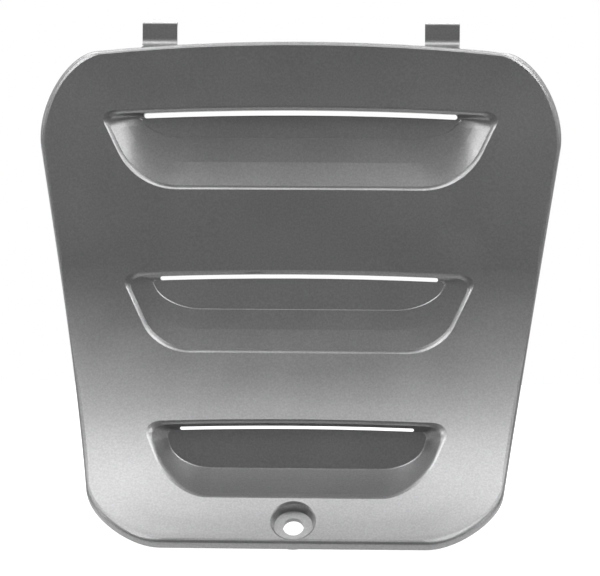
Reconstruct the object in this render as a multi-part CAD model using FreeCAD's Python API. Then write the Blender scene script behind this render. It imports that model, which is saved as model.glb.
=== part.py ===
import FreeCAD, Part
import math
import os
from collections import namedtuple

from FreeCAD import Vector

# Inspection cover of a scooter: one injection moulding with three louvres, two hook tabs
# and one sunk screw hole. The outer face looks along -Y, +Z is up, and the origin is the
# middle of the face that the screw head clamps. All sizes are in millimetres and degrees.

# Moulded wall, and the flange that runs along the edge
WALL = 2.2
RIM_DEPTH = 3.3
RIM_WALL = 2.4
EDGE_ROUND = 1.2
ROUND_START = 12.0

# Side profile of the outer face: a hollow kick at the foot, a straight, a slight forward lean
SCREW_LEAN = 39.0
KICK_RADIUS = 134.0
STRAIGHT_LENGTH = 59.5
TOP_LEAN_RADIUS = 280.0
CROWN_RADIUS = 1200.0

# Screw hole in its recess
HOLE_RADIUS = 3.5
RECESS_FLOOR_RADIUS = 6.5
RECESS_MOUTH_RADIUS = 7.4
RECESS_DEPTH = 3.4
SEAT_THICKNESS = 1.8
BOSS_WALL = 1.6
RECESS_CHAMFER = 0.3
CHAMFER_ANGLE = 50.0

# Louvres: wall, lip round the mouth, flank, floor and slot
LOUVRE_WALL = 1.8
LIP_DEPTH_LOW = 1.5
LIP_DEPTH_HIGH = 0.7
LIP_DRAFT = 25.0
LIP_ROUND = 0.55
FLOOR_STEP = 0.3
FLOOR_LEAN = 3.0
LOUVRE_ARCH = 1250.0

# Hook tabs on the top edge
TAB_SPACING = 97.0
TAB_WIDTH = 11.9
TAB_WALL = 2.0
TAB_ROOT = 2.4
TAB_DROP = 0.3
TAB_SETBACK = 4.3
TAB_FOOT_RADIUS = 3.0
TAB_HEIGHT = 8.4
TAB_LIP_LENGTH = 3.2
TAB_LIP_ANGLE = 60.0
TAB_BEND_RADIUS = 0.8
TAB_TIP_RADIUS = 0.4
TAB_CHAMFER = 1.8

# An outline seen from the front. Its left and right halves mirror each other, its top edge is an
# arc of radius arch, and each corner is a curve that takes up the given runs of its two edges.
Outline = namedtuple("Outline", "crest arch base top_half base_half "
                                "top_run top_drop base_run base_rise fullness")
Louvre = namedtuple("Louvre", "mouth floor depth hollow slot_half slot_low slot_high")

COVER = Outline(crest=164.2, arch=720.0, base=-4.8, top_half=94.0, base_half=67.9,
                top_run=24.0, top_drop=30.5, base_run=23.0, base_rise=17.0, fullness=0.45)
LOUVRES = [
    Louvre(mouth=Outline(crest=141.6, arch=LOUVRE_ARCH, base=114.2, top_half=68.3, base_half=55.9,
                         top_run=6.5, top_drop=4.5, base_run=13.9, base_rise=12.6, fullness=0.6),
           floor=Outline(crest=139.1, arch=LOUVRE_ARCH, base=131.3, top_half=55.6, base_half=48.0,
                         top_run=1.5, top_drop=2.6, base_run=9.0, base_rise=3.8, fullness=0.55),
           depth=4.8, hollow=0.36, slot_half=53.8, slot_low=139.1, slot_high=140.8),
    Louvre(mouth=Outline(crest=85.5, arch=LOUVRE_ARCH, base=58.4, top_half=60.6, base_half=48.3,
                         top_run=6.0, top_drop=4.8, base_run=11.0, base_rise=9.0, fullness=0.55),
           floor=Outline(crest=83.2, arch=LOUVRE_ARCH, base=72.7, top_half=50.3, base_half=45.3,
                         top_run=2.0, top_drop=1.5, base_run=12.0, base_rise=7.0, fullness=0.55),
           depth=1.5, hollow=0.3, slot_half=47.6, slot_low=83.2, slot_high=84.55),
    Louvre(mouth=Outline(crest=34.8, arch=LOUVRE_ARCH, base=10.1, top_half=52.0, base_half=41.4,
                         top_run=7.0, top_drop=5.2, base_run=12.5, base_rise=12.7, fullness=0.55),
           floor=Outline(crest=32.0, arch=LOUVRE_ARCH, base=18.7, top_half=44.6, base_half=41.0,
                         top_run=2.5, top_drop=3.0, base_run=12.0, base_rise=7.8, fullness=0.55),
           depth=3.4, hollow=0.05, slot_half=39.8, slot_low=32.0, slot_high=33.1),
]

# Places that follow from the sizes above
LEAN = math.radians(SCREW_LEAN)
OUTWARD = Vector(0, -math.cos(LEAN), math.sin(LEAN))
FACE_AT_SCREW = OUTWARD * RECESS_DEPTH
KICK_CENTRE = FACE_AT_SCREW + OUTWARD * KICK_RADIUS
KICK_TOP = KICK_CENTRE.z
STRAIGHT_TOP = KICK_TOP + STRAIGHT_LENGTH
UPRIGHT_Y = KICK_CENTRE.y + KICK_RADIUS
CROWN_AXIS_Y = UPRIGHT_Y + CROWN_RADIUS
UP = Vector(0, 0, 1)

# How far the working solids reach past the cover, and how far a cutting wall runs past a face
REACH_OUT = 30.0
REACH_BACK = 45.0
REACH_ROUND = 10.0
REACH_BELOW = 12.0
FLANGE_REACH = 4 * RIM_DEPTH
OVERLAP = 0.5

# Each stretch of an outline is one cubic curve, held by its points at these shares of its run
THIRDS = (0, 1 / 3, 2 / 3, 1)


def profile_y(z, behind=0.0):
    """Depth of the middle of the face at height z, or of a layer that lies behind it."""
    if z < KICK_TOP:
        return KICK_CENTRE.y + math.sqrt((KICK_RADIUS + behind) ** 2 - (KICK_TOP - z) ** 2)
    if z > STRAIGHT_TOP:
        drop = math.sqrt((TOP_LEAN_RADIUS + behind) ** 2 - (z - STRAIGHT_TOP) ** 2)
        return UPRIGHT_Y - TOP_LEAN_RADIUS + drop
    return UPRIGHT_Y + behind


def crowned(x, y_middle, z):
    """Point at the side distance x of a line that is swung about the crown's upright axis."""
    return Vector(x, CROWN_AXIS_Y - math.sqrt((CROWN_AXIS_Y - y_middle) ** 2 - x * x), z)


def face_point(x, z, behind=0.0):
    return crowned(x, profile_y(z, behind), z)


def arc(start, middle, end):
    return Part.Arc(start, middle, end).toShape()


def profile_edges(behind):
    """The side profile of a layer, from above the top edge to below the bottom edge."""
    top_turn = math.asin((COVER.crest + REACH_ROUND - STRAIGHT_TOP) / TOP_LEAN_RADIUS)
    foot_turn = math.asin((KICK_TOP - COVER.base + REACH_BELOW) / KICK_RADIUS)
    kick = KICK_RADIUS + behind
    lean = TOP_LEAN_RADIUS + behind

    def on_lean(turn):
        return Vector(0, UPRIGHT_Y - TOP_LEAN_RADIUS + lean * math.cos(turn),
                      STRAIGHT_TOP + lean * math.sin(turn))

    def on_kick(turn):
        return KICK_CENTRE + Vector(0, kick * math.cos(turn), -kick * math.sin(turn))

    return [arc(on_lean(top_turn), on_lean(top_turn / 2), on_lean(0)),
            Part.makeLine(on_lean(0), on_kick(0)),
            arc(on_kick(0), on_kick(foot_turn / 2), on_kick(foot_turn))]


def swung(face):
    """Solid that a side section sweeps when it swings about the crown's axis."""
    axis = Vector(0, CROWN_AXIS_Y, 0)
    half_turn = math.degrees((COVER.top_half + REACH_ROUND) / CROWN_RADIUS)
    start = face.copy()
    start.rotate(axis, UP, -half_turn)
    return start.revolve(axis, UP, 2 * half_turn).toNurbs()


def layer(front, back):
    """The part of the curved wall between two depths behind the outer face."""
    outer = profile_edges(front)
    inner = profile_edges(back)
    ends = [Part.makeLine(outer[0].Vertexes[0].Point, inner[0].Vertexes[0].Point),
            Part.makeLine(outer[-1].Vertexes[-1].Point, inner[-1].Vertexes[-1].Point)]
    wire = Part.Wire(Part.__sortEdges__(outer + inner + ends))
    return swung(Part.Face(wire))


def arch_z(outline, x):
    return outline.crest - outline.arch + math.sqrt(outline.arch ** 2 - x * x)


def side_slope(outline):
    """How far the side moves outwards for each millimetre that it rises."""
    height = arch_z(outline, outline.top_half) - outline.base
    return (outline.top_half - outline.base_half) / height


def grown(outline, by):
    """The same outline, offset outwards by a distance, or inwards by a negative one."""
    slope = side_slope(outline)
    side = by * math.hypot(1, slope)
    return outline._replace(crest=outline.crest + by, base=outline.base - by,
                            arch=outline.arch + by,
                            top_half=outline.top_half + side + slope * by,
                            base_half=outline.base_half + side - slope * by)


def lowered(outline, by):
    """The same outline with its sides run on to a lower base."""
    return outline._replace(base=outline.base - by,
                            base_half=outline.base_half - side_slope(outline) * by)


def blend(start, end, share):
    return (start[0] + (end[0] - start[0]) * share, start[1] + (end[1] - start[1]) * share)


def corner_curve(start, start_guide, end_guide, end):
    """Points of a smooth corner that leaves and arrives along its two guide points."""
    guides = (start, start_guide, end_guide, end)
    points = []
    for t in THIRDS:
        weights = ((1 - t) ** 3, 3 * t * (1 - t) ** 2, 3 * t * t * (1 - t), t ** 3)
        points.append(tuple(sum(w * g[i] for w, g in zip(weights, guides)) for i in (0, 1)))
    return points


def right_half(outline):
    """Corner, side and corner of the right half, each as a list of (x, z) points."""
    top = (outline.top_half, arch_z(outline, outline.top_half))
    base = (outline.base_half, outline.base)
    height = top[1] - base[1]
    leave_x = outline.top_half - outline.top_run
    leave = (leave_x, arch_z(outline, leave_x))
    leave_guide = (leave_x + outline.top_run * outline.fullness,
                   leave[1] - outline.top_run * outline.fullness * leave_x / outline.arch)
    side_top = blend(top, base, outline.top_drop / height)
    side_base = blend(base, top, outline.base_rise / height)
    arrive = (outline.base_half - outline.base_run, outline.base)
    shoulder = corner_curve(leave, leave_guide, blend(side_top, top, outline.fullness), side_top)
    side = [blend(side_top, side_base, share) for share in THIRDS]
    foot = corner_curve(side_base, blend(side_base, base, outline.fullness),
                        blend(arrive, base, outline.fullness), arrive)
    return [shoulder, side, foot]


def mirrored(segment):
    return [(-x, z) for x, z in reversed(segment)]


def segments(outline):
    """The whole outline, clockwise from the left end of its top edge."""
    right = right_half(outline)
    left = [mirrored(segment) for segment in reversed(right)]
    reach = right[0][0][0]
    top = [(reach * (2 * share - 1), arch_z(outline, reach * (2 * share - 1))) for share in THIRDS]
    base_reach = right[-1][-1][0]
    base = [(base_reach * (1 - 2 * share), outline.base) for share in THIRDS]
    return [top] + right + [base] + left


def placed(outline, place):
    """A row: the outline's points in space, with one list for each stretch."""
    return [[place(x, z) for x, z in segment] for segment in segments(outline)]


def flat(row, y):
    return [[Vector(p.x, y, p.z) for p in line] for line in row]


def poles_through(points):
    """Poles of the cubic curve that passes through four points at even shares of its run."""
    start, third, two_thirds, end = points
    leave = (start * -5 + third * 18 - two_thirds * 9 + end * 2) / 6
    arrive = (start * 2 - third * 9 + two_thirds * 18 - end * 5) / 6
    return [start, leave, arrive, end]


def patch(lines):
    """Smooth face between two lines of points. A third line in the middle guides a curved one."""
    surface = Part.BezierSurface()
    surface.increase(3, len(lines) - 1)
    for v, line in enumerate(lines, start=1):
        for u, pole in enumerate(poles_through(line), start=1):
            surface.setPole(u, v, pole)
    return surface.toShape()


def flat_end(row):
    edges = []
    for line in row:
        curve = Part.BezierCurve()
        curve.setPoles(poles_through(line))
        edges.append(curve.toShape())
    return Part.Face(Part.Wire(edges))


def strips(near, guide, far, count):
    """Splits the ring of a curved face into narrower rings that meet smoothly."""
    def row(s, t):
        shares = ((1 - s) * (1 - t), (1 - s) * t + s * (1 - t), s * t)
        return [[a * shares[0] + b * shares[1] + c * shares[2] for a, b, c in zip(*lines)]
                for lines in zip(near, guide, far)]

    marks = [step / count for step in range(count + 1)]
    return [[row(s, s), row(s, t), row(t, t)] for s, t in zip(marks, marks[1:])]


def skin_solid(rings):
    """Solid inside rings of smooth faces. Each ring is a list of two or three rows."""
    faces = [patch(lines) for ring in rings for lines in zip(*ring)]
    faces += [flat_end(rings[0][0]), flat_end(rings[-1][-1])]
    shell = Part.Shell(faces)
    shell.sewShape()
    solid = Part.Solid(shell)
    return solid if solid.Volume > 0 else solid.reversed()


def round_guide(run, draft):
    """Inset and depth of the guide line of a rounded edge that turns into a wall with a draft."""
    rise = math.tan(math.radians(ROUND_START))
    slope = math.tan(math.radians(draft))
    depth = run * rise / (1 - slope * rise)
    return depth * slope, depth


def wall_row(outline, run):
    """The cover's outline on its side wall, a distance behind the face. The bottom edge is
    square to the leaning face."""
    edge_lean = math.asin((KICK_TOP - COVER.base) / KICK_RADIUS)
    spots = placed(outline, face_point)
    shape = segments(lowered(outline, run * math.tan(edge_lean)))
    return [[Vector(x, p.y + run, z) for (x, z), p in zip(line, points)]
            for line, points in zip(shape, spots)]


def edge_solid(inset):
    """Everything inside the cover's outline, or inside one that is inset from it."""
    outline = grown(COVER, -inset)
    front = wall_row(outline, -OVERLAP)
    back = wall_row(outline, FLANGE_REACH)
    return skin_solid([[flat(front, -REACH_OUT), front], [front, back],
                       [back, flat(back, REACH_BACK)]])


def rounded_edge_solid():
    """Everything inside the cover's outline, with the front edge rounded over."""
    rise = math.tan(math.radians(ROUND_START))
    start = placed(grown(COVER, -EDGE_ROUND - OVERLAP),
                   lambda x, z: face_point(x, z, -OVERLAP * rise))
    guide_depth = round_guide(EDGE_ROUND, 0)[1]
    guide = placed(COVER, lambda x, z: face_point(x, z, guide_depth))
    wall = wall_row(COVER, EDGE_ROUND)
    back = wall_row(COVER, FLANGE_REACH)
    return skin_solid([[flat(start, -REACH_OUT), start]] + strips(start, guide, wall, 3)
                      + [[wall, back], [back, flat(back, REACH_BACK)]])


def shell_blank():
    """The plain curved panel with its edge flange and its rounded front edge."""
    edge = rounded_edge_solid()
    panel = layer(0, WALL).common(edge)
    flange = layer(0, RIM_DEPTH).common(edge).cut(edge_solid(RIM_WALL))
    return panel.fuse(flange)


def floor_point(louvre, shift):
    """Function that gives the point of a louvre's floor at (x, z), moved back by a shift.

    The floor is deepest at the slot and comes forward towards its foot.
    """
    start = profile_y(louvre.mouth.crest) + louvre.depth + shift
    lean = math.tan(math.radians(FLOOR_LEAN))
    return lambda x, z: crowned(x, start - (louvre.floor.crest - z) * lean, z)


def behind_floor(louvre, shift):
    """Everything behind a louvre's floor."""
    place = floor_point(louvre, shift)
    low = place(0, louvre.mouth.base - 2 * REACH_ROUND)
    high = place(0, louvre.mouth.crest + 2 * REACH_ROUND)
    corners = [low, high, Vector(0, high.y + REACH_BACK, high.z), Vector(0, low.y + REACH_BACK, low.z)]
    return swung(Part.Face(Part.makePolygon(corners + [low])))


def lip_depth(louvre, z):
    """Height of the step round a louvre's mouth, which tapers from its foot to its roof."""
    share = (z - louvre.mouth.base) / (louvre.mouth.crest - louvre.mouth.base)
    return LIP_DEPTH_LOW + (LIP_DEPTH_HIGH - LIP_DEPTH_LOW) * share


def lip_foot(louvre, growth):
    """Row along the foot of a louvre's lip, moved outwards and backwards by a growth."""
    inset = LIP_DEPTH_LOW * math.tan(math.radians(LIP_DRAFT))
    return placed(grown(louvre.mouth, growth - inset),
                  lambda x, z: face_point(x, z, lip_depth(louvre, z) + growth))


def floor_edge(louvre, growth, rise):
    """Row on the small step round a louvre's floor, a rise in front of the floor."""
    return placed(grown(louvre.floor, growth + rise), floor_point(louvre, growth - rise))


def hollow_guide(near, far, hollow):
    """Guide row of a wall between two rows that bulges backwards by a share of its depth."""
    return [[p + (q - p) / 2 + Vector(0, hollow * (q.y - p.y), 0) for p, q in zip(*lines)]
            for lines in zip(near, far)]


def lip(louvre):
    """Rows of the rounded step that runs round the mouth of a louvre."""
    rise = math.tan(math.radians(ROUND_START))
    start = placed(grown(louvre.mouth, LIP_ROUND + OVERLAP),
                   lambda x, z: face_point(x, z, -OVERLAP * rise))
    inset, depth = round_guide(LIP_ROUND, LIP_DRAFT)
    guide = placed(grown(louvre.mouth, -inset), lambda x, z: face_point(x, z, depth))
    return [start, guide]


def louvre_recess(louvre):
    """Hollow of a louvre: rounded lip, hollow flank, and a small step down to the floor."""
    start, guide = lip(louvre)
    foot = lip_foot(louvre, 0)
    crest = floor_edge(louvre, 0, FLOOR_STEP)
    end = floor_edge(louvre, 0, -FLOOR_STEP)
    back = max(p.y for line in end for p in line) + OVERLAP
    recess = skin_solid([[flat(start, -REACH_OUT), start]] + strips(start, guide, foot, 2)
                        + strips(foot, hollow_guide(foot, crest, louvre.hollow), crest, 2)
                        + [[crest, end], [end, flat(end, back)]])
    return recess.cut(behind_floor(louvre, 0))


def louvre_housing(louvre):
    """Solid that leaves an even wall round the hollow, from inside the cover's wall back."""
    foot = lip_foot(louvre, LOUVRE_WALL)
    end = floor_edge(louvre, LOUVRE_WALL, -FLOOR_STEP)
    back = max(p.y for line in end for p in line) + WALL
    block = skin_solid([[flat(foot, -REACH_OUT), foot], [foot, end], [end, flat(end, back)]])
    return block.cut(behind_floor(louvre, LOUVRE_WALL)).common(layer(WALL / 2, REACH_BACK))


def louvre_slot(louvre):
    """Long slot with round ends under the louvre's roof, straight through the wall."""
    half = louvre.slot_half
    radius = (louvre.slot_high - louvre.slot_low) / 2
    sag = louvre.mouth.arch - math.sqrt(louvre.mouth.arch ** 2 - half ** 2)
    middle = (louvre.slot_high + louvre.slot_low) / 2 - sag

    def at(x, z):
        return Vector(x, 0, z)

    reach = half - radius
    wire = Part.Wire([
        arc(at(-reach, middle + radius), at(0, louvre.slot_high), at(reach, middle + radius)),
        arc(at(reach, middle + radius), at(half, middle), at(reach, middle - radius)),
        arc(at(reach, middle - radius), at(0, louvre.slot_low), at(-reach, middle - radius)),
        arc(at(-reach, middle - radius), at(-half, middle), at(-reach, middle + radius))])
    slot = Part.Face(wire).extrude(Vector(0, REACH_BACK, 0))
    slot.translate(Vector(0, profile_y(louvre.slot_low), 0))
    return slot


def add_louvre(body, louvre):
    """Sinks one louvre into the cover with a wall of even thickness behind it."""
    return body.fuse(louvre_housing(louvre)).cut(louvre_recess(louvre)).cut(louvre_slot(louvre))


def screw_recess():
    """Tapered recess for the screw's head, open to the front, with a chamfer at its mouth."""
    taper = (RECESS_MOUTH_RADIUS - RECESS_FLOOR_RADIUS) / RECESS_DEPTH
    height = RECESS_DEPTH - RECESS_CHAMFER
    neck = RECESS_FLOOR_RADIUS + taper * height
    run = 4 * RECESS_CHAMFER
    spread = neck + run * math.tan(math.radians(CHAMFER_ANGLE))
    recess = Part.makeCone(RECESS_FLOOR_RADIUS, neck, height, Vector(0, 0, 0), OUTWARD)
    return recess.fuse(Part.makeCone(neck, spread, run, OUTWARD * height, OUTWARD))


def add_screw_boss(body):
    """Sunk seat for the screw's head, with the hole through it."""
    seat_back = OUTWARD * -SEAT_THICKNESS
    length = RECESS_DEPTH + SEAT_THICKNESS
    boss = Part.makeCone(RECESS_FLOOR_RADIUS + BOSS_WALL, RECESS_MOUTH_RADIUS + BOSS_WALL,
                         length, seat_back, OUTWARD)
    boss = boss.common(layer(WALL / 2, REACH_BACK)).common(edge_solid(0))
    hole = Part.makeCylinder(HOLE_RADIUS, 4 * length, OUTWARD * (-2 * length), OUTWARD)
    return body.fuse(boss).cut(screw_recess()).cut(hole)


def round_corners(points, radii):
    """Closed wire through the points of a side section, with each corner given its radius."""
    count = len(points)
    edges = []
    starts = []
    ends = []
    for i, (point, radius) in enumerate(zip(points, radii)):
        back = (points[i - 1] - point).normalize()
        ahead = (points[(i + 1) % count] - point).normalize()
        run = radius / math.tan(back.getAngle(ahead) / 2)
        starts.append(point + back * run)
        ends.append(point + ahead * run)
        if radius > 0:
            middle = (back + ahead).normalize()
            reach = radius / math.sin(back.getAngle(ahead) / 2) - radius
            edges.append(arc(starts[-1], point + middle * reach, ends[-1]))
    for i in range(count):
        edges.append(Part.makeLine(ends[i], starts[(i + 1) % count]))
    return Part.Wire(Part.__sortEdges__(edges))


def hook_tab(side):
    """Cranked tab that hooks behind the bodywork above the cover."""
    middle = side * TAB_SPACING / 2
    top = arch_z(COVER, TAB_SPACING / 2) - TAB_DROP
    face = face_point(middle, top).y
    front = face + TAB_SETBACK
    bend = top + TAB_HEIGHT
    turn = math.radians(TAB_LIP_ANGLE)
    along = Vector(0, math.sin(turn), math.cos(turn))
    across = Vector(0, math.cos(turn), -math.sin(turn))
    tip = Vector(0, front, bend) + along * TAB_LIP_LENGTH
    inner_bend = bend - TAB_WALL * math.tan(turn / 2)
    points = [Vector(0, face + WALL / 2, top - TAB_ROOT), Vector(0, front + TAB_WALL, top - TAB_ROOT),
              Vector(0, front + TAB_WALL, inner_bend), tip + across * TAB_WALL, tip,
              Vector(0, front, bend), Vector(0, front, top), Vector(0, face + WALL / 2, top)]
    radii = [0, TAB_FOOT_RADIUS, TAB_BEND_RADIUS, TAB_TIP_RADIUS, TAB_TIP_RADIUS,
             TAB_BEND_RADIUS, TAB_FOOT_RADIUS, 0]
    tab = Part.Face(round_corners(points, radii)).extrude(Vector(TAB_WIDTH, 0, 0))
    tab.translate(Vector(middle - TAB_WIDTH / 2, 0, 0))
    return tab.common(tab_front_view(middle, top, bend, tip.z))


def tab_front_view(middle, top, bend, tip):
    """Prism with the tab's shape as seen from the front, its lip corners cut off."""
    half = TAB_WIDTH / 2
    low = top - 2 * TAB_ROOT
    high = tip + 1
    shoulder = bend + 0.4
    inset = TAB_CHAMFER * (high - shoulder) / (tip - shoulder)
    points = [Vector(middle - half, 0, low), Vector(middle + half, 0, low),
              Vector(middle + half, 0, shoulder), Vector(middle + half - inset, 0, high),
              Vector(middle - half + inset, 0, high), Vector(middle - half, 0, shoulder)]
    face = Part.Face(Part.makePolygon(points + points[:1]))
    return face.extrude(Vector(0, 2 * REACH_BACK, 0))


def inspection_cover():
    body = shell_blank()
    for side in (-1, 1):
        body = body.fuse(hook_tab(side))
    for louvre in LOUVRES:
        body = add_louvre(body, louvre)
    return add_screw_boss(body)


os.makedirs("parts", exist_ok=True)
inspection_cover().exportStep("parts/inspection_cover.step")
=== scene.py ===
import math

import bpy
from mathutils import Matrix, Vector


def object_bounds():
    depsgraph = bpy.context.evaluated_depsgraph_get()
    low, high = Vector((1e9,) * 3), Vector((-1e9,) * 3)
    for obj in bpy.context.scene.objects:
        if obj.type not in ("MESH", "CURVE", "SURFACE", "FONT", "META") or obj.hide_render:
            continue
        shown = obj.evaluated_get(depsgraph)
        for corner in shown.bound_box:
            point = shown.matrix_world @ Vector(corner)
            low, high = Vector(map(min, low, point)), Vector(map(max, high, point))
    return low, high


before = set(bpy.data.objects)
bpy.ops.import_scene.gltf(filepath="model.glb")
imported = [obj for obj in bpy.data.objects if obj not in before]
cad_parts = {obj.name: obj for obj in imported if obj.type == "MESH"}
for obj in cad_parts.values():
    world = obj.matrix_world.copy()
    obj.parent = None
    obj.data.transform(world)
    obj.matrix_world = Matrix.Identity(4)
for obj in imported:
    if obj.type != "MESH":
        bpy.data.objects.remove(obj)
cad_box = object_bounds()

# Where the photograph was taken from. Distances are in metres and angles in degrees.
PHOTO_WIDTH = 600
METRES_PER_PIXEL = 0.000342
EYE_DISTANCE = 1.3
EYE_TURN = 2.5
EYE_ROLL = 0.39
AIM = Vector((0.00045, 0.02815, 0.07994))
SENSOR_WIDTH = 36.0

# Satin metallic paint. Each noise has a scale per metre and a detail, and each span says between
# which values of the noise the colour or the gloss changes. Colours are linear.
METALLIC = 0.9
FLAKE_NOISE = (1500.0, 3.0)
FLAKE_SPAN = (0.34, 0.66)
DARK_FLAKE = (0.262, 0.262, 0.264, 1)
LIGHT_FLAKE = (0.314, 0.314, 0.317, 1)
SATIN_NOISE = (55.0, 4.0)
SATIN_SPAN = (0.3, 0.7)
ROUGHNESS = (0.35, 0.375)
PEEL_NOISE = (700.0, 3.0)
PEEL_STRENGTH = 0.04
PEEL_DEPTH = 0.0002

# Floor: it turns white between the two fade distances. In reflections it is dark in front of the
# cover, and the edge of that part runs between two depths.
FLOOR_GAP = 0.045
FLOOR_SIZE = 8.0
FLOOR_SHADE = 0.8
FADE_START = 0.35
FADE_END = 1.6
DARK_FLOOR_SHADE = 0.06
DARK_FLOOR_EDGE = (-0.25, 0.05)

# The world in reflections: white behind the cover, and the dark side of the studio behind the
# camera, up to a height. Both edges are spans of a direction's own height or depth. Everything
# but the camera and the reflections sees the plain level.
DARK_SIDE_LEVEL = 0.02
DARK_SIDE_TOP = (0.38, 0.62)
WHITE_SIDE_EDGE = (0.0, 0.3)
UPPER_FRONT_LEVEL = 0.40
PLAIN_LEVEL = 0.35

# Softboxes round the cover: name, azimuth to each side of the lamps' middle, elevation, size in
# metres, power in watts. The middle is where the plain face mirrors the camera.
LAMP_TURN = -EYE_TURN
LAMP_AIM = Vector((0, 0.015, 0.08))
LAMP_DISTANCE = 1.5
WIDE_BOX = (0.7, 0.6)
SMALL_BOX = (0.25, 0.3)
LAMPS = (
    ("overhead", 0, 112, WIDE_BOX, 8.0),
    ("upper_front", 0, 60, WIDE_BOX, 0.3),
    ("side_high", 75, 63, WIDE_BOX, 2.5),
    ("side_middle", 75, 48, WIDE_BOX, 3.0),
    ("side_low", 75, 28, WIDE_BOX, 1.3),
    ("front_high", 25, 53, WIDE_BOX, 3.3),
    ("quarter_high", 50, 60, WIDE_BOX, 2.6),
    ("edge", 65, 8, SMALL_BOX, 1.5),
    ("louvre_end", 34, 25, SMALL_BOX, 3.7),
    ("front_low", 12, 4, WIDE_BOX, 0.14),
)


def node_material(name):
    material = bpy.data.materials.new(name)
    material.use_nodes = True
    tree = material.node_tree
    tree.nodes.clear()
    return material, tree


def link(tree, source, target):
    tree.links.new(source, target)


def add_node(tree, kind, **settings):
    """New node with its attributes set by name."""
    node = tree.nodes.new(kind)
    for name, value in settings.items():
        setattr(node, name, value)
    return node


def noise(tree, place, scale, detail):
    node = add_node(tree, "ShaderNodeTexNoise")
    node.inputs["Scale"].default_value = scale
    node.inputs["Detail"].default_value = detail
    link(tree, place, node.inputs["Vector"])
    return node.outputs["Fac"]


def ramp(tree, source, low, high, start=0.0, end=1.0):
    """Value that goes from start to end as the source goes from low to high."""
    node = add_node(tree, "ShaderNodeMapRange", interpolation_type="SMOOTHSTEP")
    for name, value in (("From Min", low), ("From Max", high), ("To Min", start), ("To Max", end)):
        node.inputs[name].default_value = value
    link(tree, source, node.inputs["Value"])
    return node.outputs["Result"]


def combine(tree, operation, first, second):
    """Result of one sum on two values, each a number or a socket."""
    node = add_node(tree, "ShaderNodeMath", operation=operation)
    for socket, value in zip(node.inputs, (first, second)):
        if isinstance(value, (int, float)):
            socket.default_value = value
        else:
            link(tree, value, socket)
    return node.outputs["Value"]


def metallic_grey_paint():
    """Satin grey paint with fine metal flakes over moulded plastic."""
    material, tree = node_material("metallic_grey_paint")
    nodes = tree.nodes
    out = nodes.new("ShaderNodeOutputMaterial")
    shader = nodes.new("ShaderNodeBsdfPrincipled")
    place = nodes.new("ShaderNodeTexCoord").outputs["Object"]

    flakes = noise(tree, place, *FLAKE_NOISE)
    tint = nodes.new("ShaderNodeValToRGB")
    dark, light = tint.color_ramp.elements
    dark.position, light.position = FLAKE_SPAN
    dark.color, light.color = DARK_FLAKE, LIGHT_FLAKE
    link(tree, flakes, tint.inputs["Fac"])
    link(tree, tint.outputs["Color"], shader.inputs["Base Color"])

    satin = ramp(tree, noise(tree, place, *SATIN_NOISE), *SATIN_SPAN, *ROUGHNESS)
    link(tree, satin, shader.inputs["Roughness"])

    peel = noise(tree, place, *PEEL_NOISE)
    bump = nodes.new("ShaderNodeBump")
    bump.inputs["Strength"].default_value = PEEL_STRENGTH
    bump.inputs["Distance"].default_value = PEEL_DEPTH
    link(tree, peel, bump.inputs["Height"])
    link(tree, bump.outputs["Normal"], shader.inputs["Normal"])
    link(tree, shader.outputs["BSDF"], out.inputs["Surface"])
    shader.inputs["Metallic"].default_value = METALLIC
    return material


def dress_cover():
    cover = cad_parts["inspection_cover"]
    paint = metallic_grey_paint()
    for slot in cover.material_slots:
        slot.material = paint


def pale_floor():
    """Pale floor that keeps the shadow and turns white away from the cover."""
    material, tree = node_material("pale_floor")
    nodes = tree.nodes
    out = nodes.new("ShaderNodeOutputMaterial")
    diffuse = nodes.new("ShaderNodeBsdfDiffuse")
    glow = nodes.new("ShaderNodeEmission")
    total = nodes.new("ShaderNodeAddShader")
    place = nodes.new("ShaderNodeTexCoord").outputs["Object"]
    path = nodes.new("ShaderNodeLightPath").outputs
    split = nodes.new("ShaderNodeSeparateXYZ")
    reach = add_node(tree, "ShaderNodeVectorMath", operation="LENGTH")
    link(tree, place, split.inputs["Vector"])
    link(tree, place, reach.inputs[0])

    mirrored = combine(tree, "MAXIMUM", path["Is Glossy Ray"], path["Is Transmission Ray"])
    front = ramp(tree, split.outputs["Y"], *DARK_FLOOR_EDGE, 1.0, 0.0)
    dark = combine(tree, "MULTIPLY", mirrored, front)
    shade = ramp(tree, dark, 0.0, 1.0, FLOOR_SHADE, DARK_FLOOR_SHADE)
    link(tree, shade, diffuse.inputs["Color"])

    fade = ramp(tree, reach.outputs["Value"], FADE_START, FADE_END)
    seen = combine(tree, "MAXIMUM", path["Is Camera Ray"], mirrored)
    bright = combine(tree, "SUBTRACT", seen, dark)
    link(tree, combine(tree, "MULTIPLY", fade, bright), glow.inputs["Strength"])
    link(tree, diffuse.outputs["BSDF"], total.inputs[0])
    link(tree, glow.outputs["Emission"], total.inputs[1])
    link(tree, total.outputs["Shader"], out.inputs["Surface"])
    return material


def add_floor():
    """Pale floor under the cover."""
    half = FLOOR_SIZE / 2
    mesh = bpy.data.meshes.new("floor")
    corners = [(-half, -half, 0), (half, -half, 0), (half, half, 0), (-half, half, 0)]
    mesh.from_pydata(corners, [], [(0, 1, 2, 3)])
    floor = bpy.data.objects.new("floor", mesh)
    floor.location.z = cad_box[0][2] - FLOOR_GAP
    bpy.context.scene.collection.objects.link(floor)
    floor.data.materials.append(pale_floor())


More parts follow.
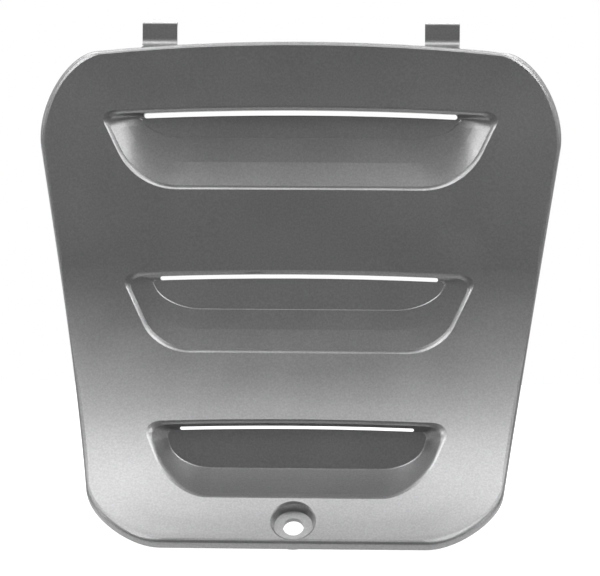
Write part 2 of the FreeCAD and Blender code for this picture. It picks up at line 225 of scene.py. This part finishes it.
def add_lamp(name, azimuth, elevation, size, power):
    """Soft rectangular lamp that faces the cover."""
    turn, rise = math.radians(azimuth), math.radians(elevation)
    along = math.cos(rise)
    direction = Vector((math.sin(turn) * along, -math.cos(turn) * along, math.sin(rise)))
    data = bpy.data.lights.new(name, "AREA")
    data.shape = "RECTANGLE"
    data.size, data.size_y = size
    data.energy = power
    lamp = bpy.data.objects.new(name, data)
    lamp.location = LAMP_AIM + direction * LAMP_DISTANCE
    lamp.rotation_euler = (-direction).to_track_quat("-Z", "Y").to_euler()
    bpy.context.scene.collection.objects.link(lamp)


def add_lamps():
    """One lamp in the middle, or a mirrored pair."""
    for name, azimuth, elevation, size, power in LAMPS:
        if azimuth == 0:
            add_lamp(name, LAMP_TURN, elevation, size, power)
        else:
            add_lamp(name + "_right", LAMP_TURN + azimuth, elevation, size, power)
            add_lamp(name + "_left", LAMP_TURN - azimuth, elevation, size, power)


def set_world():
    """White for the camera, plain light for the object, and a dark side in reflections."""
    world = bpy.data.worlds.new("studio")
    world.use_nodes = True
    bpy.context.scene.world = world
    tree = world.node_tree
    nodes = tree.nodes
    nodes.clear()
    out = nodes.new("ShaderNodeOutputWorld")
    sky = nodes.new("ShaderNodeBackground")
    sky.inputs["Color"].default_value = (1, 1, 1, 1)
    path = nodes.new("ShaderNodeLightPath").outputs
    split = nodes.new("ShaderNodeSeparateXYZ")
    link(tree, nodes.new("ShaderNodeTexCoord").outputs["Generated"], split.inputs["Vector"])

    front = ramp(tree, split.outputs["Z"], *DARK_SIDE_TOP, DARK_SIDE_LEVEL, UPPER_FRONT_LEVEL)
    behind = ramp(tree, split.outputs["Y"], *WHITE_SIDE_EDGE)
    above = combine(tree, "MULTIPLY", front, combine(tree, "SUBTRACT", 1.0, behind))
    room = combine(tree, "ADD", above, behind)
    mirrored = combine(tree, "MAXIMUM", path["Is Glossy Ray"], path["Is Transmission Ray"])
    lit = combine(tree, "MULTIPLY", combine(tree, "SUBTRACT", 1.0, mirrored), PLAIN_LEVEL)
    level = combine(tree, "ADD", lit, combine(tree, "MULTIPLY", mirrored, room))
    strength = combine(tree, "MAXIMUM", level, path["Is Camera Ray"])
    link(tree, strength, sky.inputs["Strength"])
    link(tree, sky.outputs["Background"], out.inputs["Surface"])


def add_camera():
    """Camera where the photograph was taken, with the photograph's field of view."""
    turn = math.radians(EYE_TURN)
    roll = math.radians(EYE_ROLL)
    look = Vector((-math.sin(turn), math.cos(turn), 0))
    right = Vector((math.cos(turn), math.sin(turn), 0))
    up = Vector((0, 0, 1))
    image_right = right * math.cos(roll) + up * math.sin(roll)
    image_up = up * math.cos(roll) - right * math.sin(roll)
    data = bpy.data.cameras.new("photo_camera")
    data.sensor_width = SENSOR_WIDTH
    data.lens = SENSOR_WIDTH * EYE_DISTANCE / METRES_PER_PIXEL / PHOTO_WIDTH
    camera = bpy.data.objects.new("photo_camera", data)
    axes = Matrix((image_right, image_up, -look)).transposed()
    camera.matrix_world = Matrix.Translation(AIM - look * EYE_DISTANCE) @ axes.to_4x4()
    bpy.context.scene.collection.objects.link(camera)
    bpy.context.scene.camera = camera


bpy.context.scene.view_settings.view_transform = "Standard"
dress_cover()
add_floor()
add_lamps()
set_world()
add_camera()
